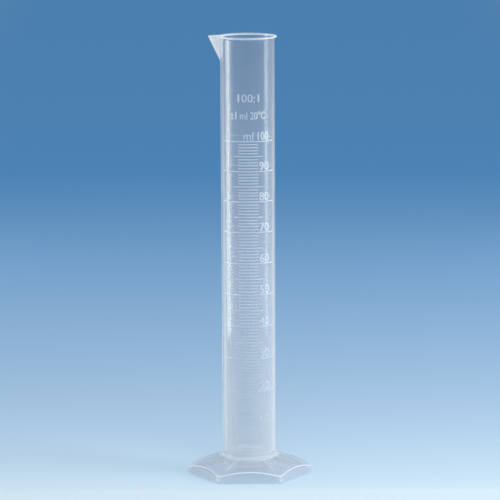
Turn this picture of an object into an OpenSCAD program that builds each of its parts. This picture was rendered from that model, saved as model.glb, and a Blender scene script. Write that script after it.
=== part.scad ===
// Graduated cylinder of 100 ml: a translucent moulded tube on a hollow six-sided foot,
// with a beaded rim, a pouring lip and a raised scale.
// Millimetres, +Z up. The origin is on the tube's axis, on the surface that the foot stands on.
// The scale faces -Y and the pouring lip points to -X.

/* [Tube] */
// Height of the rim above the standing surface
total_h = 250; // [225:1:290]
// Bore radius at the inner floor
bore_floor_r = 12.86; // [12.6:0.02:13.3]
// Outer radius of the tube at the standing surface
tube_foot_r = 14.98; // [14.5:0.01:15.6]
// Outer radius of the tube at the mouth
tube_mouth_r = 15.28; // [15.1:0.02:16.4]
// Wall of the tube at the mouth
mouth_wall = 1.24; // [0.8:0.02:1.6]
// Height of the inner floor
floor_z = 11.9; // [10.8:0.1:14]
// Thickness of the floor
floor_t = 1.8; // [1.2:0.1:2.4]
// Rounding between the floor and the bore
floor_fillet_r = 2; // [0.5:0.1:3]
// Height of the tube's lower end, below the floor
stub_z = 6; // [4.5:0.1:7.5]
// Wall of the tube's lower end
stub_wall = 1.8; // [1.2:0.1:2.5]

/* [Rim] */
// Height of the bead round the mouth
bead_h = 1.2; // [1:0.1:2.4]
// How far the bead stands out from the tube
bead_overhang = 1.05; // [0.8:0.05:1.6]
// How far inside the lip's tip the bead's line ends, so that the bead runs out into the lip
bead_tip_inset = 0.6; // [0.4:0.1:1]

/* [Pouring lip] */
// How far the lip reaches out from the tube at the mouth
lip_reach = 7; // [4.5:0.1:9]
// Depth of the lip below the mouth
lip_drop = 14.5; // [9:0.5:22]
// Radius of the lip's tip, outside
lip_tip_r = 3.2; // [2.4:0.1:4]
// Wall of the lip
lip_wall = 1.4; // [1:0.1:1.7]

/* [Foot] */
// Width of the foot across its flats, where it stands
foot_flats = 62.4; // [56:0.2:72]
// How far a side face leans inwards for each millimetre of height
foot_draft = 0.18; // [0.02:0.01:0.3]
// Rounding of the foot's six corners
foot_corner_r = 4; // [2.4:0.1:5]
// Height of a side face at its middle
foot_face_h = 6.5; // [5.2:0.1:8]
// Height at which the domed top meets the tube
foot_top_z = 11.4; // [10:0.1:14]
// Wall of the skirt and of the domed top
foot_wall = 1.7; // [1.2:0.1:2.2]
// Fillet between the domed top and the tube
collar_fillet_r = 2.2; // [1:0.1:4]
// Thickness of a gusset under the foot
gusset_t = 1.4; // [1:0.1:2]

/* [Scale] */
// Volume at the lowest mark, in millilitres
first_volume = 10; // [10:10:30]
// Volume at the highest mark, in millilitres
last_volume = 100; // [60:10:110]
// Height of a mark's face along the tube
mark_w = 0.6; // [0.4:0.05:0.9]
// How far a mark stands out from the tube
mark_relief = 0.3; // [0.2:0.05:0.5]
// Slope of a mark's upper and lower sides, along the tube
mark_draft = 0.12; // [0.05:0.01:0.15]
// Angle round the tube of a mark at ten millilitres, in front and again at the back
ring_mark_angle = 122; // [90:1:170]
// Angle round the tube of a mark at a single millilitre
unit_mark_angle = 43; // [30:1:60]
// Angle round the tube of a mark at five millilitres
half_mark_angle = 61; // [50:1:90]

/* [Hidden] */
$fn = 96;

// Colours of the moulding and of the raised marks
body_colour = [0.80, 0.86, 0.92, 0.55];
lip_colour = [0.93, 0.95, 0.98, 0.75];
mark_colour = [0.90, 0.94, 0.99];

// Side that the scale faces, and the far side, where the other half of the mould leaves its marks
scale_side = 270;
far_side = 90;

// Volume between two rings, between a ring and a mark at the half, and between two single marks
ring_step = 10;
half_step = 5;
unit_step = 1;

// Length by which a cutting solid runs past what it cuts
over = 5;

// Outer radius of the tube at height z: a straight draft from the standing surface to the mouth
function tube_r(z) = tube_foot_r + (tube_mouth_r - tube_foot_r) * z / total_h;

// Bore radius at the mouth, and at height z: a straight draft from the floor to the mouth
bore_mouth_r = tube_mouth_r - mouth_wall;
bore_draft = (bore_mouth_r - bore_floor_r) / (total_h - floor_z);
function bore_r(z) = bore_floor_r + bore_draft * (z - floor_z);

// Point on an arc about a centre, and the points of an arc from one angle to another
function arc_point(centre, r, angle) = centre + r * [cos(angle), sin(angle)];
function arc(centre, r, from, to, steps) =
    [for (i = [0 : steps]) arc_point(centre, r, from + (to - from) * i / steps)];

// Volume that the rounded floor takes from the bore, by the centroid of a fillet's section
fillet_area = (1 - PI / 4) * pow(floor_fillet_r, 2);
fillet_centroid = floor_fillet_r * (5 / 6 - PI / 4) / (1 - PI / 4);
fillet_volume = 2 * PI * (bore_floor_r - fillet_centroid) * fillet_area;

// Height at which the bore holds a volume in millilitres: a frustum's volume, solved for its height
function fill_z(ml) =
    floor_z + (pow(pow(bore_floor_r, 3) + 3 * bore_draft * (ml * 1000 + fillet_volume) / PI, 1 / 3)
               - bore_floor_r) / bore_draft;

// Width across the flats at height z, and the sphere of the domed top: through the tube at foot_top_z
// and through a side face's middle
function foot_flats_at(z) = foot_flats - 2 * foot_draft * z;
foot_face_r = foot_flats_at(foot_face_h) / 2;
dome_tube_r = tube_r(foot_top_z);
dome_z = (pow(dome_tube_r, 2) - pow(foot_face_r, 2) + pow(foot_top_z, 2) - pow(foot_face_h, 2))
         / (2 * (foot_top_z - foot_face_h));
dome_r = norm([dome_tube_r, foot_top_z - dome_z]);

// Six-sided outline with rounded corners, one corner on +X
corner_steps = 6;
function hex_outline(flats, corner_r) =
    [for (k = [0 : 5])
        each arc((flats / 2 - corner_r) / cos(30) * [cos(60 * k), sin(60 * k)], corner_r,
                 60 * k - 30, 60 * k + 30, corner_steps)];

// Solid bounded by the tube's outer draft, from one height to another
module tube_solid(from, to) {
    translate([0, 0, from]) cylinder(h = to - from, r1 = tube_r(from), r2 = tube_r(to));
}

// Six-sided block with leaning sides under a dome: the foot outside, or its hollow inside
module foot_block(inset, from) {
    to = foot_top_z + over;
    lower_flats = foot_flats_at(from) - 2 * inset;
    upper_flats = foot_flats_at(to) - 2 * inset;
    intersection() {
        translate([0, 0, from])
            linear_extrude(to - from, scale = upper_flats / lower_flats)
                polygon(hex_outline(lower_flats, foot_corner_r - inset));
        translate([0, 0, dome_z]) sphere(r = dome_r - inset, $fn = 400);
    }
}

// Ring that fills the corner between the dome and the tube with a concave fillet
module collar_fillet() {
    sunk = 0.15;
    tube_line_r = dome_tube_r + collar_fillet_r;
    centre = [tube_line_r, dome_z - sunk + sqrt(pow(dome_r + collar_fillet_r, 2) - pow(tube_line_r, 2))];
    touch = 180 + atan2(centre[1] - dome_z, centre[0]);
    fillet_steps = 8;
    rotate_extrude()
        polygon(concat(arc(centre, collar_fillet_r, 180, touch, fillet_steps),
                       [[dome_tube_r - stub_wall / 2, foot_top_z - foot_wall / 2],
                        [dome_tube_r - stub_wall / 2, centre[1]]]));
}

// Form of the pouring lip: from a disc in the mouth and the lip's tip down to one point on the tube.
// It runs on above the mouth, so that it can cut.
lip_point_z = total_h - lip_drop;
lip_point_r = 0.4;
lip_tip_x = tube_mouth_r + lip_reach - lip_tip_r;
module lip_form(disc_r, tip_r, point_x) {
    hull() {
        translate([0, 0, total_h]) cylinder(h = over, r = disc_r, $fn = 64);
        translate([-lip_tip_x, 0, total_h]) cylinder(h = over, r = tip_r, $fn = 32);
        translate([-point_x, 0, lip_point_z + lip_point_r]) sphere(r = lip_point_r, $fn = 16);
    }
}

// Outside of the lip, which leaves the tube a little inside its wall
lip_inset = 0.6;
module lip_outside() {
    lip_form(tube_mouth_r - lip_inset, lip_tip_r, tube_r(lip_point_z) - lip_point_r);
}

// Channel of the lip, which leaves the bore a little inside its wall
channel_inset = 1.4;
module lip_channel() {
    lip_form(bore_mouth_r - channel_inset, lip_tip_r - lip_wall, bore_r(lip_point_z) - 2 * lip_point_r);
}

// Tube with its floor, its open lower end and the opening into the lip
module measuring_tube() {
    fillet_centre = [bore_floor_r - floor_fillet_r, floor_z + floor_fillet_r];
    fillet_steps = 6;
    stub_r = tube_r(stub_z) - stub_wall;
    color(body_colour)
        difference() {
            rotate_extrude()
                polygon(concat([[0, floor_z]],
                               arc(fillet_centre, floor_fillet_r, 270, 360, fillet_steps),
                               [[bore_mouth_r, total_h],
                                [tube_mouth_r, total_h],
                                [tube_r(stub_z), stub_z],
                                [stub_r, stub_z],
                                [stub_r, floor_z - floor_t],
                                [0, floor_z - floor_t]]));
            lip_channel();
        }
}

// Hollow foot: skirt, domed top and the fillet up to the tube
module hex_foot() {
    color(body_colour)
        difference() {
            union() {
                foot_block(0, 0);
                collar_fillet();
            }
            foot_block(foot_wall, -over);
            tube_solid(-over, total_h);
        }
}

// Gussets under the domed top, from the tube's lower end towards each corner
module foot_gussets() {
    color(body_colour)
        for (k = [0 : 5])
            difference() {
                intersection() {
                    rotate([0, 0, 60 * k])
                        translate([0, -gusset_t / 2, stub_z])
                            cube([foot_flats, gusset_t, foot_top_z]);
                    foot_block(foot_wall, 0);
                }
                tube_solid(-over, total_h);
            }
}

// Half-round section of the bead, from a radius outwards, below the mouth
function bead_section(from_r, to_r) =
    concat([[from_r, total_h], [from_r, total_h - bead_h]],
           arc([to_r - bead_h / 2, total_h - bead_h / 2], bead_h / 2, -90, 90, 8));

// Bead round the mouth, which also follows the pouring lip and runs out near its tip
module rim_bead() {
    tip_edge_r = lip_tip_r - bead_tip_inset;
    lip_edge_r = tube_mouth_r - lip_inset + bead_overhang;
    side = acos((lip_edge_r - tip_edge_r) / lip_tip_x);
    side_length = lip_tip_x * sin(side);
    color(lip_colour)
        difference() {
            union() {
                rotate_extrude() polygon(bead_section(0, tube_mouth_r + bead_overhang));
                translate([-lip_tip_x, 0, 0])
                    rotate_extrude() polygon(bead_section(0, tip_edge_r));
                for (turn = [-1, 1])
                    translate([-lip_tip_x, 0, 0])
                        rotate([0, 0, 180 + turn * side])
                            rotate([90, 0, 0])
                                translate([0, 0, turn > 0 ? -side_length : 0])
                                    linear_extrude(side_length) polygon(bead_section(0, tip_edge_r));
            }
            tube_solid(0, total_h + over);
            lip_outside();
        }
}

// Shell of the pouring lip, outside the tube
module pouring_lip() {
    color(lip_colour)
        difference() {
            lip_outside();
            lip_channel();
            tube_solid(0, total_h + over);
            translate([-total_h / 2, -total_h / 2, total_h]) cube([total_h, total_h, 2 * over]);
        }
}

// Raised mark at a volume, over an angle centred on one side
module mark(ml, angle, side = scale_side) {
    z = fill_z(ml);
    low = z - mark_w / 2;
    high = z + mark_w / 2;
    rotate([0, 0, side - angle / 2])
        rotate_extrude(angle = angle)
            polygon([[tube_r(low), low],
                     [tube_r(low) + mark_relief, low + mark_draft],
                     [tube_r(high) + mark_relief, high - mark_draft],
                     [tube_r(high), high]]);
}

// Rings at each ten millilitres, open at the two sides where the halves of the mould part
module ring_marks() {
    color(mark_colour)
        for (ml = [first_volume : ring_step : last_volume])
            for (side = [scale_side, far_side]) mark(ml, ring_mark_angle, side);
}

// Marks at each five millilitres between the rings
module half_marks() {
    color(mark_colour)
        for (ml = [first_volume + half_step : ring_step : last_volume]) mark(ml, half_mark_angle);
}

// Marks at each single millilitre between the others
module unit_marks() {
    color(mark_colour)
        for (ml = [first_volume : unit_step : last_volume])
            if (ml % half_step != 0) mark(ml, unit_mark_angle);
}

measuring_tube();
hex_foot();
foot_gussets();
rim_bead();
pouring_lip();
ring_marks();
half_marks();
unit_marks();
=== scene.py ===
# %% [markdown]
# # A graduated cylinder of 100 ml
#
# The object is one moulding in translucent polypropylene: a tall tube on a hollow hexagonal foot, with a
# beaded rim, a pouring lip and a raised scale. The CAD model is loaded first and is never changed.

# %% Load the frame
import math

import bmesh
import bpy
import numpy as np
from mathutils import Matrix, Vector


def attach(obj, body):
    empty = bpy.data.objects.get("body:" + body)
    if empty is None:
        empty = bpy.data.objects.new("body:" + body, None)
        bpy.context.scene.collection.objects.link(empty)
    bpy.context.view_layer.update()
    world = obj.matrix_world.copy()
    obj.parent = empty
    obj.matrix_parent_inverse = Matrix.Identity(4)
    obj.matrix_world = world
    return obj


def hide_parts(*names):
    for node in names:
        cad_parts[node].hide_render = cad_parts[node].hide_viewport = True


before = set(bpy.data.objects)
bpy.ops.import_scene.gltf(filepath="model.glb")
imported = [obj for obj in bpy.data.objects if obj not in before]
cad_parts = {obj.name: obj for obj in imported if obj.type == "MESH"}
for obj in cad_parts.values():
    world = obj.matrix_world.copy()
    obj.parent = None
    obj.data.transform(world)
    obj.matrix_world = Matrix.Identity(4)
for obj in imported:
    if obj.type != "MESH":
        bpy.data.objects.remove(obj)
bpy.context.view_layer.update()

MM = 0.001
print("CAD nodes:", ", ".join(sorted(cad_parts)))

# %% [markdown]
# The sizes of tube and bore are those of the CAD model, in millimetres, because a maker thinks of this
# object in millimetres. A mesh is turned into metres at the moment it is made. Both the tube and its bore
# widen upwards, as a moulding must so that it leaves its core, and two small functions give the radius at
# any height. The bore widens more than the outside does, so the wall is thickest at the floor.

# %% Tube and bore
TOTAL_H, FLOOR_Z = 250.0, 11.9
BORE_FLOOR_R, BORE_MOUTH_R = 12.86, 14.04
TUBE_FOOT_R, TUBE_MOUTH_R = 14.98, 15.28
BORE_DRAFT = (BORE_MOUTH_R - BORE_FLOOR_R) / (TOTAL_H - FLOOR_Z)


def tube_r(z):
    """Outer radius of the tube at a height."""
    return TUBE_FOOT_R + (TUBE_MOUTH_R - TUBE_FOOT_R) * z / TOTAL_H


def bore_r(z):
    """Radius of the bore at a height."""
    return BORE_FLOOR_R + BORE_DRAFT * (z - FLOOR_Z)


MOUTH_WALL = TUBE_MOUTH_R - BORE_MOUTH_R
FLOOR_WALL = tube_r(FLOOR_Z) - BORE_FLOOR_R
print(f"wall at the mouth {MOUTH_WALL:.2f} mm, at the floor {FLOOR_WALL:.2f} mm")

# %% [markdown]
# The camera stands 2.2 m in front of the scale and looks a little down on it with a long lens, so the
# cylinder's sides stay almost parallel. It could be aimed by a constraint, but two angles say the same in
# plain numbers: how far it looks down, and how far the picture is tilted. The view transform Standard shows
# colours as they are lit.

# %% Camera
CAMERA_PLACE = (0.00069, -2.22104, 0.46583)
LOOKS_DOWN, PICTURE_TILT = 8.640, 0.32
LENS, FARTHEST = 286.44, 50

camera = bpy.data.objects.new("camera", bpy.data.cameras.new("camera"))
bpy.context.scene.collection.objects.link(camera)
camera.data.lens = LENS
camera.data.clip_end = FARTHEST
camera.matrix_world = (
    Matrix.Translation(CAMERA_PLACE)
    @ Matrix.Rotation(math.radians(90 - LOOKS_DOWN), 4, "X")
    @ Matrix.Rotation(math.radians(-PICTURE_TILT), 4, "Z")
)
bpy.context.scene.camera = camera
bpy.context.scene.view_settings.view_transform = "Standard"
tube_middle = Vector((0, 0, TOTAL_H / 2 * MM))
print(f"camera {(camera.location - tube_middle).length:.3f} m from the middle of the tube")

# %% [markdown]
# Node trees are written as sums. `Wire` wraps an output of a node: an operator on it adds a Math node, also
# when a plain number stands on the left, and `node` adds any other node, with its settings first and its
# sockets after. The same class serves materials and Geometry Nodes, because both know the Math node.

# %% Sums of sockets
class Wire:
    """An output socket of a tree, ready for sums. Without a socket it is the tree's empty start."""

    def __init__(self, tree, socket=None):
        self.tree, self.socket = tree, socket

    def node(self, kind, settings=None, inputs=None, output=0):
        """The wire of one output of a new node. A ramp's stops are set with its settings."""
        made = self.tree.nodes.new(kind)
        for name, value in (settings or {}).items():
            if name == "stops":
                while len(made.color_ramp.elements) < len(value):
                    made.color_ramp.elements.new(1)
                for stop, (place, colour) in zip(made.color_ramp.elements, value):
                    stop.position, stop.color = place, colour
            else:
                setattr(made, name, value)
        for name, value in (inputs or {}).items():
            if isinstance(value, Wire):
                self.tree.links.new(value.socket, made.inputs[name])
            else:
                made.inputs[name].default_value = value
        return Wire(self.tree, made.outputs[output] if made.outputs else None)

    def maths(self, operation, *values):
        """The wire of a Math node on wires or numbers."""
        return self.node("ShaderNodeMath", {"operation": operation}, dict(enumerate(values)))

    def __add__(self, other):
        return self.maths("ADD", self, other)

    def __sub__(self, other):
        return self.maths("SUBTRACT", self, other)

    def __rsub__(self, other):
        return self.maths("SUBTRACT", other, self)

    def __mul__(self, other):
        return self.maths("MULTIPLY", self, other)

    def __truediv__(self, other):
        return self.maths("DIVIDE", self, other)

    def __pow__(self, other):
        return self.maths("POWER", self, other)

    def __mod__(self, other):
        return self.maths("MODULO", self, other)

    __radd__, __rmul__ = __add__, __mul__


def new_material(name):
    """An empty node material and the start of its tree."""
    material = bpy.data.materials.new(name)
    material.use_nodes = True
    material.node_tree.nodes.clear()
    return material, Wire(material.node_tree)


print("operators of a wire: + - * / ** %")

# %% [markdown]
# The stage is one wide sheet of pale blue paper. The camera looks down so little that the sheet fills the
# whole picture, so it has to run on for metres behind the cylinder. The lamps are there to light the
# plastic, so the fall-off of light on the paper is painted into its colour instead, by its Object
# coordinates: a painted pool of light makes it palest where the cylinder stands, and it turns a deeper blue
# behind. Aside and in front, where the lamps are near, painted shade makes it a little greyer, so that it
# doesn't turn white there in a view from behind.

# %% Tones of the paper, with painted light and shade
FLOOR_NEAR, FLOOR_FAR, FLOOR_PAINTED_SHADE = (0.70, 0.86, 0.95, 1), (0.11, 0.38, 0.76, 1), (0.52, 0.64, 0.71, 1)
FADE_STARTS, FADE_ENDS = -0.05, 1.3
ASIDE_STARTS, ASIDE_ENDS, SOONER_IN_FRONT = 0.25, 0.8, 2.2

paper, start = new_material("pale_paper")
place = start.node("ShaderNodeTexCoord", output="Object")
across = start.node("ShaderNodeSeparateXYZ", inputs={"Vector": place}, output="X")
behind = start.node("ShaderNodeSeparateXYZ", inputs={"Vector": place}, output="Y")
# Painted light: the paper fades from a pale pool of light round the cylinder to a deeper blue behind.
fade = start.node(
    "ShaderNodeMapRange",
    inputs={"Value": behind, "From Min": FADE_STARTS, "From Max": FADE_ENDS},
    output="Result",
)
painted_falloff = start.node(
    "ShaderNodeValToRGB",
    {"stops": [(0.0, FLOOR_NEAR), (1.0, FLOOR_FAR)]},
    {"Fac": fade**0.5},
    output="Color",
)
# Painted shade: aside and in front, where the lamps are near, the paper turns greyer.
in_front = start.maths("MINIMUM", behind, 0.0) * SOONER_IN_FRONT
from_middle = (across * across + in_front * in_front) ** 0.5
aside = start.node(
    "ShaderNodeMapRange",
    {"interpolation_type": "SMOOTHSTEP"},
    {"Value": from_middle, "From Min": ASIDE_STARTS, "From Max": ASIDE_ENDS},
    output="Result",
)
# A Mix node keeps its two colours in the sockets 6 and 7, and their mixture in output 2.
tone = start.node("ShaderNodeMix", {"data_type": "RGBA"}, {0: aside, 6: painted_falloff, 7: FLOOR_PAINTED_SHADE}, output=2)
print("paper is palest up to", ASIDE_STARTS, "m aside and deepest", FADE_ENDS, "m behind")

# %% [markdown]
# Paper is dull and has a fine nap, which a noise gives as a slight bump. The sheet is a single face, and it
# isn't part of the object.

# %% Paper floor
FIBRES = {"Scale": 900, "Detail": 4}
NAP = {"Strength": 0.05, "Distance": 0.0002}
FLOOR_REACH = 9.0

fibres = start.node("ShaderNodeTexNoise", inputs={"Vector": place, **FIBRES}, output="Fac")
nap = start.node("ShaderNodeBump", inputs={"Height": fibres, **NAP})
sheet = start.node(
    "ShaderNodeBsdfPrincipled",
    inputs={"Base Color": tone, "Roughness": 0.9, "Specular IOR Level": 0.1, "Normal": nap},
)
start.node("ShaderNodeOutputMaterial", inputs={"Surface": sheet})

floor_mesh = bpy.data.meshes.new("floor")
corners = [(x * FLOOR_REACH, y * FLOOR_REACH, 0) for x, y in ((-1, -1), (1, -1), (1, 1), (-1, 1))]
floor_mesh.from_pydata(corners, [], [(0, 1, 2, 3)])
floor_mesh.materials.append(paper)
floor = bpy.data.objects.new("floor", floor_mesh)
bpy.context.scene.collection.objects.link(floor)
print("floor reaches", FLOOR_REACH, "m each way")

# %% [markdown]
# The sky gives a soft, nearly white light from all round, at half strength. What the camera and the gloss
# see of it is blue instead, deeper at the horizon, so that the plastic mirrors the tones of the stage. One
# world holds both, because Light Path tells which kind of ray asks.

# %% Sky
SKY_LIGHT = (0.50, 0.505, 0.52, 1)
SKY_SEEN_LOW, SKY_SEEN_HIGH, SEEN_HIGH_FROM = (0.36, 0.57, 0.82, 1), (0.75, 0.86, 0.97, 1), 0.7

sky = bpy.data.worlds.new("sky")
bpy.context.scene.world = sky
sky.use_nodes = True
sky.node_tree.nodes.clear()
start = Wire(sky.node_tree)
way = start.node("ShaderNodeTexCoord", output="Generated")
up = start.node("ShaderNodeSeparateXYZ", inputs={"Vector": way}, output="Z")
backdrop = start.node(
    "ShaderNodeValToRGB",
    {"stops": [(0.0, SKY_SEEN_LOW), (SEEN_HIGH_FROM, SKY_SEEN_HIGH)]},
    {"Fac": up},
    output="Color",
)
looked_at = start.node("ShaderNodeLightPath", output="Is Camera Ray")
mirrored = start.node("ShaderNodeLightPath", output="Is Glossy Ray")
either = start.maths("MAXIMUM", looked_at, mirrored)
light = start.node("ShaderNodeBackground", inputs={"Color": SKY_LIGHT})
seen = start.node("ShaderNodeBackground", inputs={"Color": backdrop})
glow = start.node("ShaderNodeMixShader", inputs={0: either, 1: light, 2: seen})
start.node("ShaderNodeOutputWorld", inputs={"Surface": glow})
print("sky lights with", SKY_LIGHT[:3])

# %% [markdown]
# Polypropylene shows itself by its highlights: a bright upright stripe on the left of the tube and a
# fainter one on the right. A stripe is the mirror image of a tall softbox, so a strip lamp stands on each
# side. A grid before each strip keeps its beam off the paper, and its tubes are warm, because the blue
# stage shows through the stripe and cools it. Softboxes above, in front and on the right fill the foot and
# the lip, and two dim cards behind brighten the edges from there. A lamp is described by how bright its
# face is, since that is what the plastic mirrors, and its power follows from its area.

# %% Lamps
def softbox(name, place, aim, wide, tall, brightness, grid=None, colour=(1, 1, 1)):
    """A lamp at a place, facing a point, unseen by the camera. A grid narrows its beam to some degrees."""
    light = bpy.data.lights.new(name, "AREA")
    light.shape, light.size, light.size_y = "RECTANGLE", wide, tall
    light.energy = brightness * math.pi * wide * tall
    light.color = colour
    if grid:
        light.spread = math.radians(grid)
        light.energy *= 1 - light.spread / 2 / math.tan(light.spread / 2)
    lamp = bpy.data.objects.new(name, light)
    bpy.context.scene.collection.objects.link(lamp)
    back = Vector(place) - Vector(aim)
    lamp.matrix_world = Matrix.Translation(place) @ back.to_track_quat("Z", "Y").to_matrix().to_4x4()
    lamp.visible_camera = False
    print(f"{name}: {wide} by {tall} m, {light.energy:.2f} W")


STRIP_Z, STRIP_TALL = 0.228, 0.44
STRIP = {"aim": (0, 0, STRIP_Z), "tall": STRIP_TALL, "grid": 50, "colour": (1.0, 0.93, 0.82)}
REAR_CARD = {"aim": (0, 0, 0.12), "wide": 0.5, "tall": 0.5, "brightness": 0.45}

softbox("left_strip", place=(-0.42, 0.056, STRIP_Z), wide=0.19, brightness=9.2, **STRIP)
softbox("right_strip", place=(0.42, -0.065, STRIP_Z), wide=0.11, brightness=2.3, **STRIP)
softbox("overhead", place=(0, -0.1, 1.1), aim=(0, -0.1, 0), wide=0.45, tall=0.75, brightness=1.6)
softbox("front_fill", place=(0.25, -1.2, 1.0), aim=(0, 0, 0.12), wide=0.9, tall=0.6, brightness=2.8)
softbox("right_fill", place=(0.8, -0.3, 0.55), aim=(0, 0, 0.1), wide=0.5, tall=0.5, brightness=4.2)
softbox("rear_card_left", place=(-0.55, 0.8, 0.27), **REAR_CARD)
softbox("rear_card_right", place=(0.55, 0.8, 0.27), **REAR_CARD)

# %% [markdown]
# The plastic is milky: it lets most light through, scatters the rest as a soft white veil, and mirrors a
# little on its skin. Scattering inside a real volume would be slow and grainy, so each skin is a mixture of
# plain shaders. A clear one lets the stage show through and takes a little light at every skin, a pale one
# is the veil of the thin wall, a dull white one is the milk of thick places, and a mirror lies over all.
#
# How much a skin hides follows the way that a look takes through the wall. In a hollow tube that way has an
# exact length, and it is longest where the look just misses the bore. The lean of the skin comes from Layer
# Weight. Flat and solid places are no tube, so an attribute of the mesh, `even`, takes the lean away there.

# %% Way through the wall
WALL_SHARE = 0.2


def way_through_wall(start):
    """How edge on the skin is seen, and the way through a tube's wall, which is 1 for a look face on."""
    even = start.node("ShaderNodeAttribute", {"attribute_name": "even"}, output="Fac")
    facing = start.node("ShaderNodeLayerWeight", inputs={"Blend": 0.5}, output="Facing")
    edge_on = facing * (1 - even)
    lean = 1 - edge_on
    past_bore = start.maths("MAXIMUM", lean * lean - WALL_SHARE, 0.0) ** 0.5
    return edge_on, (lean - past_bore) / (1 - math.sqrt(1 - WALL_SHARE))


longest = math.sqrt(WALL_SHARE) / (1 - math.sqrt(1 - WALL_SHARE))
print(f"the longest way through the wall is {longest:.1f} times the shortest")

# %% [markdown]
# A second attribute, `solid`, says how milky the plastic is at each point, and along rounded edges its extra
# milk is also a painted highlight. A slow noise makes the veil a little cloudy, and fine ripples in the
# normal are those of a polished steel mould. Raised marks and letters are of the same plastic with a denser
# veil, and the letters are the denser ones. Both stand out less low on the tube, where the thick wall behind
# them is milky, too.
#
# A lamp's own rays take a short way past all this: the skin lets most of their light through, so that the
# inside of the tube is lit and the cylinder throws only a pale shadow.

# %% Milky plastic
SKIN_MIRROR, EDGE_MIRROR, MIRROR_RISE = 0.05, 0.35, 5
THICK_MILK = (0.82, 0.85, 0.89, 1)
SEEN_THROUGH, LAMP_PASSES = (0.91, 0.935, 0.955, 1), (0.74, 0.77, 0.80, 1)
CLOUDS, POLISH = {"Scale": 45, "Detail": 3}, {"Scale": 700, "Detail": 2}
CLOUDY, ROUGHNESS_CHANGE, CLOUD_WAVE, RIPPLE_DEPTH = 0.3, 0.1, 2, 0.0001
PLASTIC_IOR = 1.49


def milky_plastic(name, veil_colour, face_veil, gloss_rough, ripple, full_from=None):
    """Translucent polypropylene. The veil is how much one skin hides, seen face on."""
    material, start = new_material(name)
    place = start.node("ShaderNodeTexCoord", output="Object")
    edge_on, way_through = way_through_wall(start)
    solid = start.node("ShaderNodeAttribute", {"attribute_name": "solid"}, output="Fac")
    cloud = start.node("ShaderNodeTexNoise", inputs={"Vector": place, **CLOUDS}, output="Fac")
    polish = start.node("ShaderNodeTexNoise", inputs={"Vector": place, **POLISH}, output="Fac")
    veil = face_veil * way_through * (1 - CLOUDY / 2 + cloud * CLOUDY)
    if full_from:
        height = start.node("ShaderNodeSeparateXYZ", inputs={"Vector": place}, output="Z")
        shown = start.node("ShaderNodeMapRange", inputs={"Value": height, **full_from}, output="Result")
        veil = veil * shown
    waves = polish + cloud * CLOUD_WAVE
    skin = start.node(
        "ShaderNodeBump", inputs={"Strength": ripple, "Distance": RIPPLE_DEPTH, "Height": waves}
    )
    roughness = gloss_rough + (cloud - 0.5) * ROUGHNESS_CHANGE
    milk = start.node(
        "ShaderNodeBsdfPrincipled",
        inputs={"Base Color": veil_colour, "Roughness": roughness, "IOR": PLASTIC_IOR, "Normal": skin},
    )
    clear = start.node("ShaderNodeBsdfTransparent", inputs={"Color": SEEN_THROUGH})
    thin = start.node("ShaderNodeMixShader", inputs={0: veil, 1: clear, 2: milk})
    thick = start.node("ShaderNodeBsdfDiffuse", inputs={"Color": THICK_MILK, "Normal": skin})
    thickness = start.node("ShaderNodeClamp", inputs={"Value": solid * way_through})
    body = start.node("ShaderNodeMixShader", inputs={0: thickness, 1: thin, 2: thick})
    gloss = start.node("ShaderNodeBsdfGlossy", inputs={"Roughness": gloss_rough, "Normal": skin})
    mirror = SKIN_MIRROR + edge_on**MIRROR_RISE * (EDGE_MIRROR - SKIN_MIRROR)
    seen = start.node("ShaderNodeMixShader", inputs={0: mirror, 1: body, 2: gloss})
    from_lamp = start.node("ShaderNodeLightPath", output="Is Shadow Ray")
    passing = start.node("ShaderNodeBsdfTransparent", inputs={"Color": LAMP_PASSES})
    plastic = start.node("ShaderNodeMixShader", inputs={0: from_lamp, 1: seen, 2: passing})
    start.node("ShaderNodeOutputMaterial", inputs={"Surface": plastic})
    print(f"{name}: a skin hides {face_veil:.1%} face on")
    return material


RAISED = {
    "gloss_rough": 0.22,
    "ripple": 0.1,
    "full_from": {"From Min": 20 * MM, "From Max": 115 * MM, "To Min": 0.55},
}
moulding = milky_plastic(
    "milky_polypropylene", veil_colour=(0.80, 0.82, 0.85, 1), face_veil=0.055, gloss_rough=0.05, ripple=0.05
)
scale_plastic = milky_plastic(
    "raised_scale_polypropylene", veil_colour=(0.82, 0.89, 0.97, 1), face_veil=0.30, **RAISED
)
letter_plastic = milky_plastic(
    "raised_letter_polypropylene", veil_colour=(0.84, 0.90, 0.97, 1), face_veil=0.38, **RAISED
)

# %% [markdown]
# The moulding is one closed skin. It could be put together from cylinders and cones with booleans, but then
# the inner faces left at each joint would show through the plastic. It is drawn instead as a section,
# walked from the middle of the inner floor up the bore, over the rim, down the outside, under the foot and
# back to the axis, and the section is turned round the axis. Each point of the section has its own outline
# round the axis: a circle on the tube, a rounded hexagon on the foot and a teardrop at the mouth.
#
# First come the directions in which the section is placed. They lie closer together at the hexagon's
# corners and at the pouring lip, where the outline turns fast.

# %% Directions round the axis
HEX_CORNERS, LIP_DIRECTION = np.arange(0, 360, 60), 180
CORNER_SPREAD, CORNER_STEP = 4, 0.5
LIP_SPREAD, LIP_STEP = 54, 1.0
PLAIN_STEP = 2.0


def spread(middle, reach, step):
    """Directions on both sides of a middle one, in degrees."""
    return middle + np.arange(-reach, reach + step / 2, step)


near_corners = np.concatenate([spread(corner, CORNER_SPREAD, CORNER_STEP) for corner in HEX_CORNERS])
near_lip = spread(LIP_DIRECTION, LIP_SPREAD, LIP_STEP)
round_about = np.arange(0, 360, PLAIN_STEP)
angles = np.unique(np.round(np.concatenate([round_about, near_corners % 360, near_lip]), 3))
turn = np.radians(angles)
from_lip = np.abs(turn - math.radians(LIP_DIRECTION))
from_corner = np.abs((angles + 30) % 60 - 30)
print(len(angles), "directions")

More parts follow.
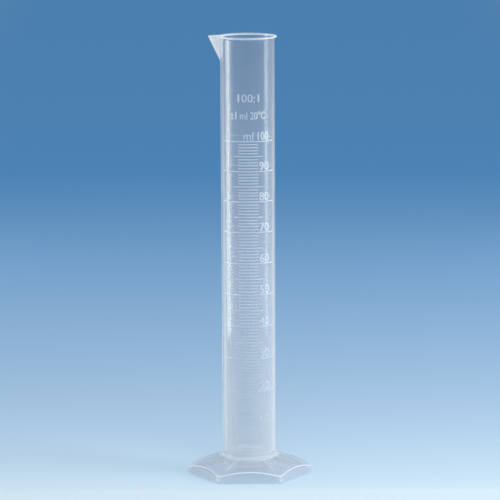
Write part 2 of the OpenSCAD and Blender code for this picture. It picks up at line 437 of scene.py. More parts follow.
# %% [markdown]
# The outlines are distances from the axis in each of these directions. The hexagon's is exact. The teardrop
# is the hull of two discs, which is the same as a row of discs whose centre and size change evenly from one
# to the other, so the farthest of them is taken. Where two outlines meet, their distances melt into each
# other over a short way, and that is the fillet.

# %% Outlines
DISCS = 160


def hexagon(flats, corner):
    """A hexagon with rounded corners."""
    aside = np.radians(from_corner)
    centre = (flats / 2 - corner) / math.cos(math.pi / 6)
    arc_ends = math.atan2(corner / 2, centre + corner * math.cos(math.pi / 6))
    on_arc = centre * np.cos(aside) + np.sqrt(np.maximum(corner**2 - (centre * np.sin(aside)) ** 2, 0))
    on_flat = flats / 2 / np.cos(math.pi / 6 - aside)
    return np.where(aside < arc_ends, on_arc, on_flat)


def teardrop(disc, disc_x, tip, tip_x):
    """The hull of a disc and a smaller one at the tip, both on the lip's side. Zero where it misses."""
    share = np.linspace(0, 1, DISCS)[:, None]
    centre = disc_x + (tip_x - disc_x) * share
    radius = disc + (tip - disc) * share
    inside = radius**2 - (centre * np.sin(from_lip)) ** 2
    reach = centre * np.cos(from_lip) + np.sqrt(np.maximum(inside, 0))
    return np.where(inside > 0, reach, 0).max(axis=0)


def melted(a, b, width):
    """The larger of two distances, with a rounded change from one to the other."""
    near = np.maximum(width - np.abs(a - b), 0) / width
    return np.maximum(a, b) + near**2 * width / 4


print(f"a hexagon of 60 mm is {hexagon(60, 4).max() * 2:.1f} mm over its rounded corners")

# %% [markdown]
# The pouring lip is a hollow wedge. At the mouth its outline is a teardrop with a small tip, and downwards
# it shrinks to a point on the tube's wall. The bore has a channel of the same form inside it, so the lip is
# a thin shell as it is in the real moulding, and both are given as outlines at a height.

# %% Pouring lip
LIP_REACH, LIP_DROP, LIP_TIP_R, LIP_WALL = 7.0, 14.5, 3.2, 1.4
LIP_POINT_R, LIP_INSET, CHANNEL_INSET, LIP_FILLET = 0.4, 3.6, 4.0, 0.5
LIP_POINT_Z = TOTAL_H - LIP_DROP
LIP_TIP_X = TUBE_MOUTH_R + LIP_REACH - LIP_TIP_R


def lip_share(z):
    """How far up the lip a height is, from 0 at its lowest point to 1 at the mouth."""
    return min(max((z - LIP_POINT_Z) / LIP_DROP, 0), 1)


def outside(z):
    """The tube and its lip at a height."""
    share = lip_share(z)
    start_x = (1 - share) * (tube_r(LIP_POINT_Z) - LIP_POINT_R)
    lip = teardrop(
        share * (TUBE_MOUTH_R - LIP_INSET) + (1 - share) * LIP_POINT_R,
        start_x,
        share * LIP_TIP_R + (1 - share) * LIP_POINT_R,
        start_x + share * LIP_TIP_X,
    )
    return melted(np.full_like(turn, tube_r(z)), lip, LIP_FILLET)


def inside(z, out=0.0):
    """The bore and its channel into the lip at a height, moved outwards by a distance."""
    share = lip_share(z)
    start_x = (1 - share) * (bore_r(LIP_POINT_Z) - 2 * LIP_POINT_R)
    channel = teardrop(
        share * (BORE_MOUTH_R - CHANNEL_INSET) + (1 - share) * LIP_POINT_R + out,
        start_x,
        share * (LIP_TIP_R - LIP_WALL) + (1 - share) * LIP_POINT_R + out,
        start_x + share * LIP_TIP_X,
    )
    return melted(np.full_like(turn, bore_r(z) + out), channel, LIP_FILLET)


lip_reach, channel_reach = outside(TOTAL_H).max(), inside(TOTAL_H).max()
print(f"lip reaches {lip_reach:.2f} mm, its channel {channel_reach:.2f} mm from the axis")

# %% [markdown]
# Now the section is walked. A row of the skin is a distance and a height for every direction, and the rows
# are listed in order. Edges could be rounded at the end by a Bevel modifier, but it knows nothing of the
# milk. So every bend is walked as a short arc, which catches a line of light as a real edge does, and the
# two numbers that the plastic reads go with each row. A bend is milkiest in its middle: partly because thick
# plastic is milky there, and partly as a painted highlight, a white line along the edge.

# %% Rows and bends
PEAK_SHARPNESS = 1.5
rows = []


def row(distance, height, solid=0.0, even=0.0):
    """One more row. Each value is one number, or one for each direction."""
    rows.append([np.broadcast_to(value, turn.shape) for value in (distance, height, solid, even)])


# The milk at the middle of a bend is partly a painted highlight along the edge.
def bend(centre_r, centre_z, radius, start_deg, end_deg, steps, solid=0.0, peak_milk_and_highlight=0.0, even=0.0):
    """Rows on an arc. Centre, radius and angles may differ from one direction to another."""
    for step in range(steps + 1):
        angle = np.radians(start_deg + (np.asarray(end_deg) - start_deg) * step / steps)
        peak = math.sin(math.pi * step / steps) ** PEAK_SHARPNESS
        milk = solid + (peak_milk_and_highlight - solid) * peak
        row(centre_r + radius * np.cos(angle), centre_z + radius * np.sin(angle), milk, even)


print("each row has", len(turn), "points")

# %% [markdown]
# Thick plastic is whiter than thin. The wall of the tube thickens downwards, and its milk with it. The lip
# gets milky as it leaves the round tube, soonest and most along its spine. Bead, floor and rounded edges
# are solid plastic, so they are nearly white; on the rounded edges and the foot's corners the white is also
# a painted highlight. One number for the whole skin would be simpler, but then the cylinder would look like
# thin glass.

# %% Milk of each place
WALL_SOLID, LIP_SOLID, SPINE_SOLID, BEAD_SOLID, RIM_SOLID = 0.21, 0.34, 0.9, 0.65, 0.1
FLOOR_SOLID, COLLAR_SOLID, DOME_SOLID, FACE_SOLID, STUB_SOLID = 0.6, 0.38, 0.18, 0.30, 0.5
# The extra milk at the middle of a bend is partly thick plastic and partly a painted highlight.
EDGE_MILK_AND_HIGHLIGHT, COLLAR_MILK_AND_HIGHLIGHT = 0.80, 0.48
BORE_EVEN, RIM_EVEN, FOOT_EVEN, BEAD_FOOT_EVEN = 1.0, 0.9, 0.8, 0.5
SPINE_WIDTH = 0.2
MILK_STARTS, LIP_MILKY, SPINE_MILKY = 0.1, 0.9, 0.2


def wall_solid(z):
    """How milky the tube is at a height."""
    return WALL_SOLID * (tube_r(z) - bore_r(z) - MOUTH_WALL) / (FLOOR_WALL - MOUTH_WALL)


def lip_solid(stands_out):
    """How milky the lip is, by how far it stands out from the round tube, in mm."""
    spine = np.exp(-((from_lip / SPINE_WIDTH) ** 2))
    milky_at = LIP_MILKY - (LIP_MILKY - SPINE_MILKY) * spine
    share = np.clip((stands_out - MILK_STARTS * (1 - spine)) / milky_at, 0, 1)
    return share * (LIP_SOLID + SPINE_SOLID * spine)


print(f"milk of the wall: {wall_solid(TOTAL_H):.2f} at the mouth, {wall_solid(FLOOR_Z):.2f} at the floor")

# %% [markdown]
# The walk starts on the inner floor, takes the rounded corner at its edge and climbs the bore. Along the
# lip the heights lie closer together, because the channel opens there.

# %% Floor and bore
FLOOR_FILLET, MOUTH_EDGE = 2.0, 0.35
ABOVE_FILLET, BELOW_LIP, ROUND_POINT, BELOW_RIM, AT_RIM = 0.5, 3.0, 1.5, 1.5, 0.6
flat_floor_r = BORE_FLOOR_R - FLOOR_FILLET
fillet_z = FLOOR_Z + FLOOR_FILLET
plain_heights = np.linspace(fillet_z + ABOVE_FILLET, LIP_POINT_Z - BELOW_LIP, 24)
lip_heights = np.linspace(LIP_POINT_Z - ROUND_POINT, TOTAL_H - BELOW_RIM, 27)

for share in (0.1, 0.35, 0.7, 0.95):
    row(flat_floor_r * share, FLOOR_Z, FLOOR_SOLID, FOOT_EVEN)
bend(flat_floor_r, fillet_z, FLOOR_FILLET, 270, 360, 7, FLOOR_SOLID, EDGE_MILK_AND_HIGHLIGHT, FOOT_EVEN)
for z in (*plain_heights, *lip_heights, TOTAL_H - AT_RIM, TOTAL_H - MOUTH_EDGE):
    row(inside(z), z, wall_solid(z) + lip_solid(inside(z) - bore_r(z)), BORE_EVEN)
print(len(rows), "rows up to the mouth")

# %% [markdown]
# A half-round bead stiffens the mouth. It could be a torus, but a torus would end bluntly at the lip. Near
# the lip's tip the real bead runs out into the lip's own rounded edge, so at each height the farther one of
# the two is taken, melted into the other. A small fillet leads from the bead back to the tube.

# %% Rim and bead
BEAD_H, BEAD_OUT, BEAD_TIP_INSET, BEAD_FOOT = 1.2, 1.05, 0.6, 0.3
BEAD_R = BEAD_H / 2
LIP_EDGE, RIM_FLAT, BEAD_TOP_PAINTED_SHADE = 0.45, 0.15, 0.8


def bead_line(z, out):
    """The bead at a height, a distance out from the tube, or the lip's edge where that is farther out."""
    tip = LIP_TIP_R - BEAD_TIP_INSET + out - BEAD_OUT
    bead = teardrop(TUBE_MOUTH_R - LIP_INSET + out, 0, tip, LIP_TIP_X)
    drop = max(1 - (TOTAL_H - z) / LIP_EDGE, 0)
    lip = outside(z) - LIP_EDGE * (1 - math.sqrt(1 - drop**2))
    return melted(np.maximum(bead, tube_r(z) + out), lip, BEAD_FOOT)


for angle in np.radians((22.5, 45, 67.5, 90)):
    z = TOTAL_H - MOUTH_EDGE * (1 - math.sin(angle))
    row(inside(TOTAL_H, MOUTH_EDGE * (1 - math.cos(angle))), z, RIM_SOLID, RIM_EVEN)
row(inside(TOTAL_H, MOUTH_EDGE + RIM_FLAT), TOTAL_H, RIM_SOLID, RIM_EVEN)
# The bead's upper half is kept clearer than its lower half: painted shade on its top, so the milky lower
# half shows as a thin bright line.
for angle in np.radians(np.linspace(90, -90, 13)):
    z = TOTAL_H - BEAD_R + BEAD_R * math.sin(angle)
    upper = max(math.sin(angle), 0)
    edge = bead_line(z, BEAD_OUT - BEAD_R + BEAD_R * math.cos(angle))
    row(edge, z, BEAD_SOLID * (1 - upper * BEAD_TOP_PAINTED_SHADE), upper * RIM_EVEN)
for angle in np.radians((68, 45, 22, 0)):
    z = TOTAL_H - BEAD_H - BEAD_FOOT * (1 - math.sin(angle))
    fillet = tube_r(z) + BEAD_FOOT * (1 - math.cos(angle))
    row(np.maximum(outside(z), fillet), z, lip_solid(outside(z) - tube_r(z)), BEAD_FOOT_EVEN)
print(len(rows), "rows up to the foot of the bead")

# %% [markdown]
# The outside runs down to the collar, a concave fillet that leads from the tube to the domed top of the
# foot. The dome is part of a large ball. Its centre lies on the axis, where it is as far from the dome's
# edge on the tube as from the top of a side face.

# %% Outside and collar
FOOT_FLATS, FOOT_DRAFT, FOOT_FACE_H, FOOT_TOP_Z = 62.4, 0.18, 6.5, 11.4
COLLAR_R, ABOVE_COLLAR = 2.2, 0.4
LIP_EVEN_RISE, LIP_EVEN = 3, 0.9
dome_tube_r = tube_r(FOOT_TOP_Z)
face_r = FOOT_FLATS / 2 - FOOT_DRAFT * FOOT_FACE_H
dome_z = (dome_tube_r**2 - face_r**2 + FOOT_TOP_Z**2 - FOOT_FACE_H**2) / (2 * (FOOT_TOP_Z - FOOT_FACE_H))
dome_r = math.hypot(dome_tube_r, FOOT_TOP_Z - dome_z)


def ball_z(distance, ball):
    """Height on a ball about the dome's centre, at a distance from the axis."""
    return dome_z + np.sqrt(ball**2 - np.square(distance))


def seen_from_ball(distance, height):
    """Angle above the horizon, in degrees, at which the dome's centre sees a point."""
    return np.degrees(np.arctan2(height - dome_z, distance))


collar_x = dome_tube_r + COLLAR_R
collar_z = ball_z(collar_x, dome_r + COLLAR_R)
collar_end = seen_from_ball(collar_x, collar_z)
for z in (*lip_heights[::-1], *plain_heights[::-1]):
    if z > collar_z + 2 * ABOVE_COLLAR:
        stands_out = outside(z) - tube_r(z)
        even = np.clip(stands_out * LIP_EVEN_RISE, 0, LIP_EVEN)
        row(outside(z), z, wall_solid(z) + lip_solid(stands_out), even)
row(tube_r(collar_z + ABOVE_COLLAR), collar_z + ABOVE_COLLAR, COLLAR_SOLID, FOOT_EVEN)
bend(collar_x, collar_z, COLLAR_R, 180, 180 + collar_end, 8, COLLAR_SOLID, COLLAR_MILK_AND_HIGHLIGHT, FOOT_EVEN)
print(f"dome of {dome_r:.1f} mm radius; collar {collar_z:.1f} mm up")

# %% [markdown]
# The foot's six side faces lean inwards as they rise, and so leave their mould. The dome meets them in an
# arched edge, lower at the corners than at the middle of a face, because a corner is farther from the axis.
# A bevel would have one width all along. The arc of this edge is worked out for each direction instead,
# so that it can be rounder at the corners, as it is on the real foot.

# %% Foot
FOOT_CORNER_R, SKIRT_EDGE = 4.0, 0.8
ARCH_EDGE, ROUNDER_CORNER, ROUNDER_WITHIN = 1.3, 0.9, 12
CORNER_MILK_AND_HIGHLIGHT, MILKY_WITHIN = 0.3, 3


class LeaningFace:
    """The six side faces, outside or inside: in each direction a line that leans inwards as it rises."""

    def __init__(self, flats, corner):
        self.foot = hexagon(flats, corner)
        self.slope = self.foot * 2 * FOOT_DRAFT / flats
        self.tilt = np.degrees(np.arctan(self.slope))
        self.slant = np.hypot(1, self.slope)

    def at(self, z):
        """Distance from the axis at a height."""
        return self.foot - self.slope * z

    def corner_with_ball(self, ball, edge):
        """Centre of the arc of a rounded edge between these faces and a ball about the dome's centre."""
        start = self.foot - edge * self.slant - self.slope * dome_z
        up = (start * self.slope + np.sqrt(((ball - edge) * self.slant) ** 2 - start**2)) / self.slant**2
        return start - self.slope * up, dome_z + up


skirt = LeaningFace(FOOT_FLATS, FOOT_CORNER_R)
near_corner = np.clip(1 - from_corner / ROUNDER_WITHIN, 0, 1)
arch_edge = ARCH_EDGE + ROUNDER_CORNER * (3 * near_corner**2 - 2 * near_corner**3)
arch_x, arch_z = skirt.corner_with_ball(dome_r, arch_edge)
arch_end = seen_from_ball(arch_x, arch_z)
face_top = arch_z + arch_edge * np.sin(np.radians(skirt.tilt))
# Near the corners the side faces are milkier: partly thick plastic, partly a painted highlight on the
# upright edges.
face_solid = FACE_SOLID + CORNER_MILK_AND_HIGHLIGHT * np.clip(1 - from_corner / MILKY_WITHIN, 0, 1)
skirt_x = skirt.at(SKIRT_EDGE) - SKIRT_EDGE * skirt.slant

for share in (0.06, 0.25, 0.5, 0.75, 0.9, 0.97):
    angle = np.radians(collar_end + (arch_end - collar_end) * share)
    row(dome_r * np.cos(angle), dome_z + dome_r * np.sin(angle), DOME_SOLID, FOOT_EVEN)
bend(arch_x, arch_z, arch_edge, arch_end, skirt.tilt, 7, DOME_SOLID, EDGE_MILK_AND_HIGHLIGHT, FOOT_EVEN)
for share in (0.15, 0.5, 0.85):
    z = face_top + (SKIRT_EDGE - face_top) * share
    row(skirt.at(z), z, face_solid, FOOT_EVEN)
bend(skirt_x, SKIRT_EDGE, SKIRT_EDGE, skirt.tilt, -90, 4, FACE_SOLID, EDGE_MILK_AND_HIGHLIGHT, FOOT_EVEN)
print(f"side faces end {face_top.min():.2f} mm up at the corners and {face_top.max():.2f} mm in between")

# %% [markdown]
# The foot is hollow, because thick plastic sinks in as it cools. Inside the skirt the walk climbs to the
# underside of the dome. It could be left out, since it faces the table, but it shows through the plastic
# and it is seen when the cylinder is lifted.

# %% Hollow of the foot
FOOT_WALL, HOLLOW_EDGE = 1.7, 1.0
hollow = LeaningFace(FOOT_FLATS - 2 * FOOT_WALL, FOOT_CORNER_R - FOOT_WALL)
hollow_ball = dome_r - FOOT_WALL
hollow_x = hollow.at(SKIRT_EDGE) + SKIRT_EDGE * hollow.slant
vault_x, vault_z = hollow.corner_with_ball(hollow_ball, HOLLOW_EDGE)
vault_end = seen_from_ball(vault_x, vault_z)

bend(hollow_x, SKIRT_EDGE, SKIRT_EDGE, -90, hollow.tilt - 180, 4)
for share in (0.2, 0.8):
    z = SKIRT_EDGE + (vault_z - SKIRT_EDGE) * share
    row(hollow.at(z), z)
bend(vault_x, vault_z, HOLLOW_EDGE, hollow.tilt, vault_end, 5)
print(len(rows), "rows up to the vault of the hollow")

# %% [markdown]
# The walk follows the vault inwards and comes down the tube's short open end, which carries the floor high
# above the table. Inside that end it climbs to the underside of the floor and reaches the axis again.

# %% Open end below the floor
STUB_Z, STUB_WALL, STUB_EDGE, ABOVE_EDGE, FLOOR_T = 6.0, 1.8, 0.4, 0.5, 1.8
stub_out = tube_r(STUB_Z)
stub_in = stub_out - STUB_WALL
stub_edge_z = STUB_Z + STUB_EDGE
ceiling_z, ceiling_r = FLOOR_Z - FLOOR_T, stub_in - HOLLOW_EDGE
neck_x = stub_out + HOLLOW_EDGE
neck_z = ball_z(neck_x, hollow_ball - HOLLOW_EDGE)
neck_end = seen_from_ball(neck_x, neck_z)

for share in (0.05, 0.3, 0.6, 0.95):
    angle = np.radians(vault_end + (neck_end - vault_end) * share)
    row(hollow_ball * np.cos(angle), dome_z + hollow_ball * np.sin(angle))
bend(neck_x, neck_z, HOLLOW_EDGE, neck_end, 180, 6)
row(stub_out, stub_edge_z + ABOVE_EDGE, STUB_SOLID, FOOT_EVEN)
bend(stub_out - STUB_EDGE, stub_edge_z, STUB_EDGE, 0, -90, 4, STUB_SOLID, EDGE_MILK_AND_HIGHLIGHT, FOOT_EVEN)
bend(stub_in + STUB_EDGE, stub_edge_z, STUB_EDGE, -90, -180, 4, STUB_SOLID, EDGE_MILK_AND_HIGHLIGHT, FOOT_EVEN)
row(stub_in, stub_edge_z + ABOVE_EDGE, STUB_SOLID, FOOT_EVEN)
bend(ceiling_r, ceiling_z - HOLLOW_EDGE, HOLLOW_EDGE, 0, 90, 5, STUB_SOLID, STUB_SOLID, FOOT_EVEN)
for share in (0.95, 0.6, 0.3):
    row(ceiling_r * share, ceiling_z)
print(len(rows), "rows in all")

# %% [markdown]
# The rows become one closed mesh: neighbouring rows are joined by quads, and the first and the last row
# close in a fan on the axis. The volume is measured with the sign of the faces, so a skin that came out
# inside out would show as a negative number and is turned round.

# %% A closed skin
def milk_of(mesh, name, values):
    """A number at each point of a mesh, which the plastic reads."""
    mesh.attributes.new(name, "FLOAT", "POINT").data.foreach_set("value", values.astype(np.float32))


def skin_of(rows, first_pole, last_pole):
    """A closed mesh from the rows of a section, in metres."""
    ring = len(turn)
    points = []
    for distance, height, *_ in rows:
        points.append(np.stack([distance * np.cos(turn), distance * np.sin(turn), height], axis=1))
    points = np.concatenate([*points, [[0, 0, first_pole], [0, 0, last_pole]]]) * MM
    last = ring * (len(rows) - 1)
    first_tip, last_tip = ring * len(rows), ring * len(rows) + 1
    faces = []
    for k in range(ring):
        after = (k + 1) % ring
        faces.append((first_tip, k, after))
        for low in range(0, last, ring):
            faces.append((low + k, low + ring + k, low + ring + after, low + after))
        faces.append((last_tip, last + after, last + k))
    mesh = bpy.data.meshes.new("skin")
    mesh.from_pydata(points.tolist(), [], faces)
    form = bmesh.new()
    form.from_mesh(mesh)
    volume = form.calc_volume(signed=True)
    if volume < 0:
        bmesh.ops.reverse_faces(form, faces=form.faces)
        form.to_mesh(mesh)
    open_edges = sum(not edge.is_manifold for edge in form.edges)
    form.free()
    for name, column in (("solid", 2), ("even", 3)):
        tips = [rows[0][column][0], rows[-1][column][0]]
        milk_of(mesh, name, np.concatenate([*(made[column] for made in rows), tips]))
    print(f"skin holds {abs(volume) * 1e6:.1f} ml of plastic, sign {volume:+.1e}, {open_edges} open edges")
    return mesh


body_mesh = skin_of(rows, FLOOR_Z, ceiling_z)

# %% [markdown]
# A finished piece stands at the origin, with its place in its mesh, as the nodes of the CAD model do. It
# says on which body it rides. The moulded body stands for the four nodes that are one skin in the real
# object.

# %% Moulded body
def piece_from(name, mesh, material, smooth=True):
    """An object at the origin that rides on the moulding."""
    for polygon in mesh.polygons:
        polygon.use_smooth = smooth
    mesh.materials.clear()
    mesh.materials.append(material)
    piece = bpy.data.objects.new(name, mesh)
    bpy.context.scene.collection.objects.link(piece)
    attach(piece, "root")
    points = np.array([vertex.co for vertex in mesh.vertices]) / MM
    low, high = np.round(points.min(0), 2), np.round(points.max(0), 2)
    triangles = sum(len(polygon.vertices) - 2 for polygon in mesh.polygons)
    print(f"{name}: {triangles} triangles, {low} to {high} mm")
    return piece


body = piece_from("moulded_body", body_mesh, moulding)
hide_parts("measuring_tube", "hex_foot", "rim_bead", "pouring_lip")

# %% [markdown]
# What repeats is made by Geometry Nodes. `group` starts a tree with named inputs, `finished` ends it, and
# `grown` runs it on a mesh and keeps the result as a plain mesh, because the finished piece has to stand
# without its modifier.

# %% Geometry Nodes helpers
def group(name, sizes):
    """A geometry tree with named number inputs, the wires of its inputs, and its start."""
    tree = bpy.data.node_groups.new(name, "GeometryNodeTree")
    tree.interface.new_socket("Geometry", in_out="INPUT", socket_type="NodeSocketGeometry")
    tree.interface.new_socket("Geometry", in_out="OUTPUT", socket_type="NodeSocketGeometry")
    for size, kind in sizes.items():
        tree.interface.new_socket(size, in_out="INPUT", socket_type=kind)
    given = tree.nodes.new("NodeGroupInput")
    return tree, {socket.name: Wire(tree, socket) for socket in given.outputs if socket.name}, Wire(tree)


def finished(start, geometry, material):
    """The end of a tree: real faces with their material."""
    real = start.node("GeometryNodeRealizeInstances", inputs={"Geometry": geometry})
    painted = start.node("GeometryNodeSetMaterial", inputs={"Geometry": real, "Material": material})
    start.node("NodeGroupOutput", inputs={"Geometry": painted})


def grown(name, tree, sizes, seed_mesh):
    """The plain mesh that a tree makes from a mesh, with its sizes set."""
    holder = bpy.data.objects.new(name, seed_mesh)
    bpy.context.scene.collection.objects.link(holder)
    modifier = holder.modifiers.new("grow", "NODES")
    modifier.node_group = tree
    for item in tree.interface.items_tree:
        if item.in_out == "INPUT" and item.name in sizes:
            modifier[item.identifier] = sizes[item.name]
    evaluated = holder.evaluated_get(bpy.context.evaluated_depsgraph_get())
    mesh = bpy.data.meshes.new_from_object(evaluated)
    bpy.data.objects.remove(holder)
    return mesh


print("helpers for trees: group, finished, grown")

# %% [markdown]
# Six thin gussets stiffen the foot from below, one towards each corner, and show through the dome as faint
# lines. One is drawn as a plate between the tube's lower end and the underside of the dome, a little sunk
# into both so that no gap can open.

# %% One gusset
GUSSET_T, GUSSET_TAPER, SUNK = 1.4, 1.0, 0.2
gusset_end = math.sqrt(hollow_ball**2 - (STUB_Z - dome_z) ** 2)
upper_x = np.linspace(stub_out - SUNK, gusset_end, 12)
outline = [(x, float(ball_z(x, hollow_ball)) + SUNK) for x in upper_x]
outline += [(gusset_end - GUSSET_TAPER, STUB_Z), (stub_out - SUNK, STUB_Z)]
count = len(outline)
plate_faces = [tuple(range(count))[::-1], tuple(range(count, 2 * count))]
for k in range(count):
    after = (k + 1) % count
    plate_faces.append((k, after, after + count, k + count))

plate = bpy.data.meshes.new("gusset")
sides = (-GUSSET_T / 2, GUSSET_T / 2)
plate.from_pydata([(x * MM, y * MM, z * MM) for y in sides for x, z in outline], [], plate_faces)
form = bmesh.new()
form.from_mesh(plate)
bmesh.ops.recalc_face_normals(form, faces=form.faces)
form.to_mesh(plate)
form.free()
print(f"a gusset is {gusset_end - stub_out:.1f} mm long and {GUSSET_T} mm thick")

# %% [markdown]
# A tree sets the plate six times round the axis. Every seat lies at the origin, and only its turn differs,
# so the index of the seat gives the angle.

# %% Gussets under the dome
GUSSET_SOLID = 0.5
tree, given, start = group("gussets_round_the_axis", {"Count": "NodeSocketInt"})
seats = start.node("GeometryNodeMeshLine", inputs={"Count": given["Count"], "Offset": (0, 0, 0)})
index = start.node("GeometryNodeInputIndex")
spun = start.node("ShaderNodeCombineXYZ", inputs={"Z": index * (2 * math.pi) / given["Count"]})
copies = start.node(
    "GeometryNodeInstanceOnPoints",
    inputs={"Points": seats, "Instance": given["Geometry"], "Rotation": spun},
)
finished(start, copies, moulding)
gusset_mesh = grown("gussets_seed", tree, {"Count": len(HEX_CORNERS)}, plate)
for name, value in (("solid", GUSSET_SOLID), ("even", FOOT_EVEN)):
    milk_of(gusset_mesh, name, np.full(len(gusset_mesh.vertices), value))
gussets = piece_from("gussets", gusset_mesh, moulding, smooth=False)
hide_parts("foot_gussets")

# %% [markdown]
# The raised marks lie at the heights at which the bore holds each volume. The bore is a slender cone, so a
# volume is the third power of a radius, and the height comes from a cube root. The rounded corner at the
# floor takes a little volume away, which is added to every mark.

# %% Height of a volume
CUBIC_MM_IN_ML = 1000
fillet_area = (1 - math.pi / 4) * FLOOR_FILLET**2
fillet_middle = BORE_FLOOR_R - FLOOR_FILLET * (5 / 6 - math.pi / 4) / (1 - math.pi / 4)
FILLET_VOLUME = 2 * math.pi * fillet_middle * fillet_area


def fill_z(ml):
    """Height at which the bore holds a volume. It takes a number or a wire."""
    cube = (ml * CUBIC_MM_IN_ML + FILLET_VOLUME) * (3 * BORE_DRAFT / math.pi) + BORE_FLOOR_R**3
    return (cube ** (1 / 3) - BORE_FLOOR_R) / BORE_DRAFT + FLOOR_Z


print(f"10 ml stand {fill_z(10):.2f} mm up, 100 ml {fill_z(100):.2f} mm")

# %% [markdown]
# The marks could be modelled one by one, but they follow a rule, so one tree makes every kind of them. For
# each seat it works out the volume and its height, sets a rounded arc there and widens it to the tube. A
# kind with two sides gets an arc in front and one at the back at each height, and another may leave out the
# volumes that a longer mark already has.

# %% Tree of the scale marks
MARK_R, MARK_CORNERS = 0.3, 8
SCALE_DIRECTION = 270
MEAN_R = tube_r(TOTAL_H / 2)
MARK_SIZES = {
    "First volume": "NodeSocketFloat",
    "Step": "NodeSocketFloat",
    "Count": "NodeSocketInt",
    "Angle": "NodeSocketFloat",
    "Steps round": "NodeSocketInt",
    "Sides": "NodeSocketInt",
    "Leave out multiples of": "NodeSocketFloat",
}

marks_tree, given, start = group("marks_at_volumes", MARK_SIZES)
seat_count = given["Count"] * given["Sides"]
seats = start.node("GeometryNodeMeshLine", inputs={"Count": seat_count, "Offset": (0, 0, 0)})
index = start.node("GeometryNodeInputIndex")
ml = given["First volume"] + start.maths("FLOOR", index / given["Sides"]) * given["Step"]
height = fill_z(ml)
seat = start.node("ShaderNodeCombineXYZ", inputs={"Z": height * MM})
placed = start.node("GeometryNodeSetPosition", inputs={"Geometry": seats, "Position": seat})
past_multiple = ml % given["Leave out multiples of"]
wanted = start.node("FunctionNodeCompare", {"operation": "GREATER_THAN"}, {0: past_multiple, 1: 0.5})
arc = start.node(
    "GeometryNodeCurveArc",
    inputs={
        "Resolution": given["Steps round"],
        "Radius": MEAN_R * MM,
        "Start Angle": given["Angle"] * -0.5 + math.radians(SCALE_DIRECTION),
        "Sweep Angle": given["Angle"],
    },
)
section = start.node(
    "GeometryNodeCurvePrimitiveCircle", inputs={"Resolution": MARK_CORNERS, "Radius": MARK_R * MM}
)
mark = start.node(
    "GeometryNodeCurveToMesh", inputs={"Curve": arc, "Profile Curve": section, "Fill Caps": True}
)
wide = tube_r(height) / MEAN_R
widened = start.node("ShaderNodeCombineXYZ", inputs={"X": wide, "Y": wide, "Z": 1.0})
turned = start.node("ShaderNodeCombineXYZ", inputs={"Z": index % given["Sides"] * math.pi})
copies = start.node(
    "GeometryNodeInstanceOnPoints",
    inputs={"Points": placed, "Selection": wanted, "Instance": mark, "Rotation": turned, "Scale": widened},
)
finished(start, copies, scale_plastic)
print("inputs of the tree:", ", ".join(MARK_SIZES))

# %% [markdown]
# Three kinds of marks make the scale: long arcs on both sides at each ten millilitres, shorter ones in
# front at the fives, and the shortest at the single millilitres in between.

# %% Scale marks
BEYOND_SCALE = 1000.0


def raised_marks(node, first, step, count, degrees, steps_round, sides=1, left_out=BEYOND_SCALE):
    """One kind of marks, counted in ml, with arcs of some degrees. Multiples of left_out get no mark."""
    sizes = {
        "First volume": first,
        "Step": step,
        "Count": count,
        "Angle": math.radians(degrees),
        "Steps round": steps_round,
        "Sides": sides,
        "Leave out multiples of": left_out,
    }
    name = node + "_raised"
    mesh = grown(name + "_seed", marks_tree, sizes, bpy.data.meshes.new("seed"))
    marks = piece_from(name, mesh, scale_plastic)
    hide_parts(node)


raised_marks("ring_marks", first=10.0, step=10.0, count=10, degrees=122, steps_round=40, sides=2)
raised_marks("half_marks", first=15.0, step=10.0, count=9, degrees=61, steps_round=20)
raised_marks("unit_marks", first=11.0, step=1.0, count=89, degrees=43, steps_round=14, left_out=5.0)

# %% [markdown]
# Letters are cut into the mould, so they stand out from the tube as the marks do. They could be a printed
# texture, but then no light would catch on their edges. Blender's own font is drawn with some thickness,
# made a mesh, stretched to its length, and cut into narrow upright strips so that it can bend.

# %% Flat letters
LETTER_OUT, LETTER_SUNK = 0.28, 0.12
FONT_SIZE, CAP_TALL, HALF_THICK, BOLDER, CURVE_STEPS = 10, 7.3, 0.5, 0.08, 3
STRIP_WIDE, SAME_POINT = 0.45, 1e-4


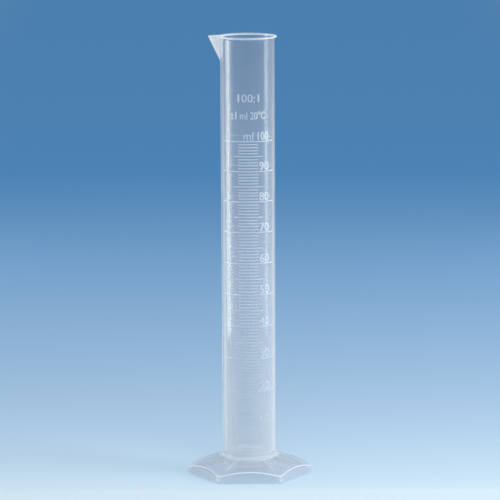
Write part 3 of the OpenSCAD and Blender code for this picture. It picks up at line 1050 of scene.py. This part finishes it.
def flat_letters(words, tall, long):
    """A flat form of the words in mm, of a given height and length, starting at x = 0 on the base line."""
    curve = bpy.data.curves.new("words", "FONT")
    curve.body = words
    curve.size = FONT_SIZE
    curve.extrude = HALF_THICK
    curve.offset = BOLDER
    curve.resolution_u = CURVE_STEPS
    holder = bpy.data.objects.new("words", curve)
    bpy.context.scene.collection.objects.link(holder)
    mesh = bpy.data.meshes.new_from_object(holder.evaluated_get(bpy.context.evaluated_depsgraph_get()))
    bpy.data.objects.remove(holder)
    form = bmesh.new()
    form.from_mesh(mesh)
    bpy.data.meshes.remove(mesh)
    bmesh.ops.remove_doubles(form, verts=form.verts, dist=SAME_POINT)
    left, right = min(v.co.x for v in form.verts), max(v.co.x for v in form.verts)
    for v in form.verts:
        along = (v.co.x - left) / (right - left) * long
        v.co = (along, v.co.y * tall / CAP_TALL, (v.co.z + HALF_THICK) * (LETTER_OUT + LETTER_SUNK))
    for x in np.arange(STRIP_WIDE, long, STRIP_WIDE):
        every = [*form.verts, *form.edges, *form.faces]
        bmesh.ops.bisect_plane(form, geom=every, plane_co=(x, 0, 0), plane_no=(1, 0, 0))
    return form


print(f"letters stand {LETTER_OUT} mm out of the tube")

# %% [markdown]
# Each line of words is fitted between two directions, counted from the middle of the scale, and rolled
# round the tube. Numerals stand above the right half of each long mark, with the unit beside the highest
# one, and a legend above the scale gives a ratio and the tolerance at its temperature.

# %% Lettering
NUMERAL_TALL, ABOVE_MARK = 4.9, 0.8


def rolled(form, left_angle, base_z):
    """The letters bent round the tube, from a direction right of the scale's middle, in degrees."""
    for v in form.verts:
        z = base_z + v.co.y
        angle = math.radians(SCALE_DIRECTION + left_angle) + v.co.x / tube_r(z)
        distance = tube_r(z) - LETTER_SUNK + v.co.z
        v.co = (distance * math.cos(angle) * MM, distance * math.sin(angle) * MM, z * MM)


def lettering(name, lines):
    """One piece from lines of words: each has a height, a base line and the directions of its two ends."""
    whole = bmesh.new()
    for words, tall, base_z, left_angle, right_angle in lines:
        form = flat_letters(words, tall, math.radians(right_angle - left_angle) * tube_r(base_z))
        rolled(form, left_angle, base_z)
        part = bpy.data.meshes.new("part")
        form.to_mesh(part)
        form.free()
        whole.from_mesh(part)
        bpy.data.meshes.remove(part)
    bmesh.ops.recalc_face_normals(whole, faces=whole.faces)
    mesh = bpy.data.meshes.new(name)
    whole.to_mesh(mesh)
    whole.free()
    piece_from(name, mesh, letter_plastic, smooth=False)


numeral_lines = [(str(ml), NUMERAL_TALL, fill_z(ml) + ABOVE_MARK, 24, 47) for ml in range(10, 100, 10)]
top_line = fill_z(100) + ABOVE_MARK
numeral_lines += [("100", NUMERAL_TALL, top_line, 20.5, 47), ("ml", NUMERAL_TALL, top_line, -10, 11)]
lettering("scale_numerals", numeral_lines)
lettering("scale_legend", [("100:1", 4.6, 214.0, -22, 24), ("±1 ml 20°C", 4.4, 204.3, -40, 39)])
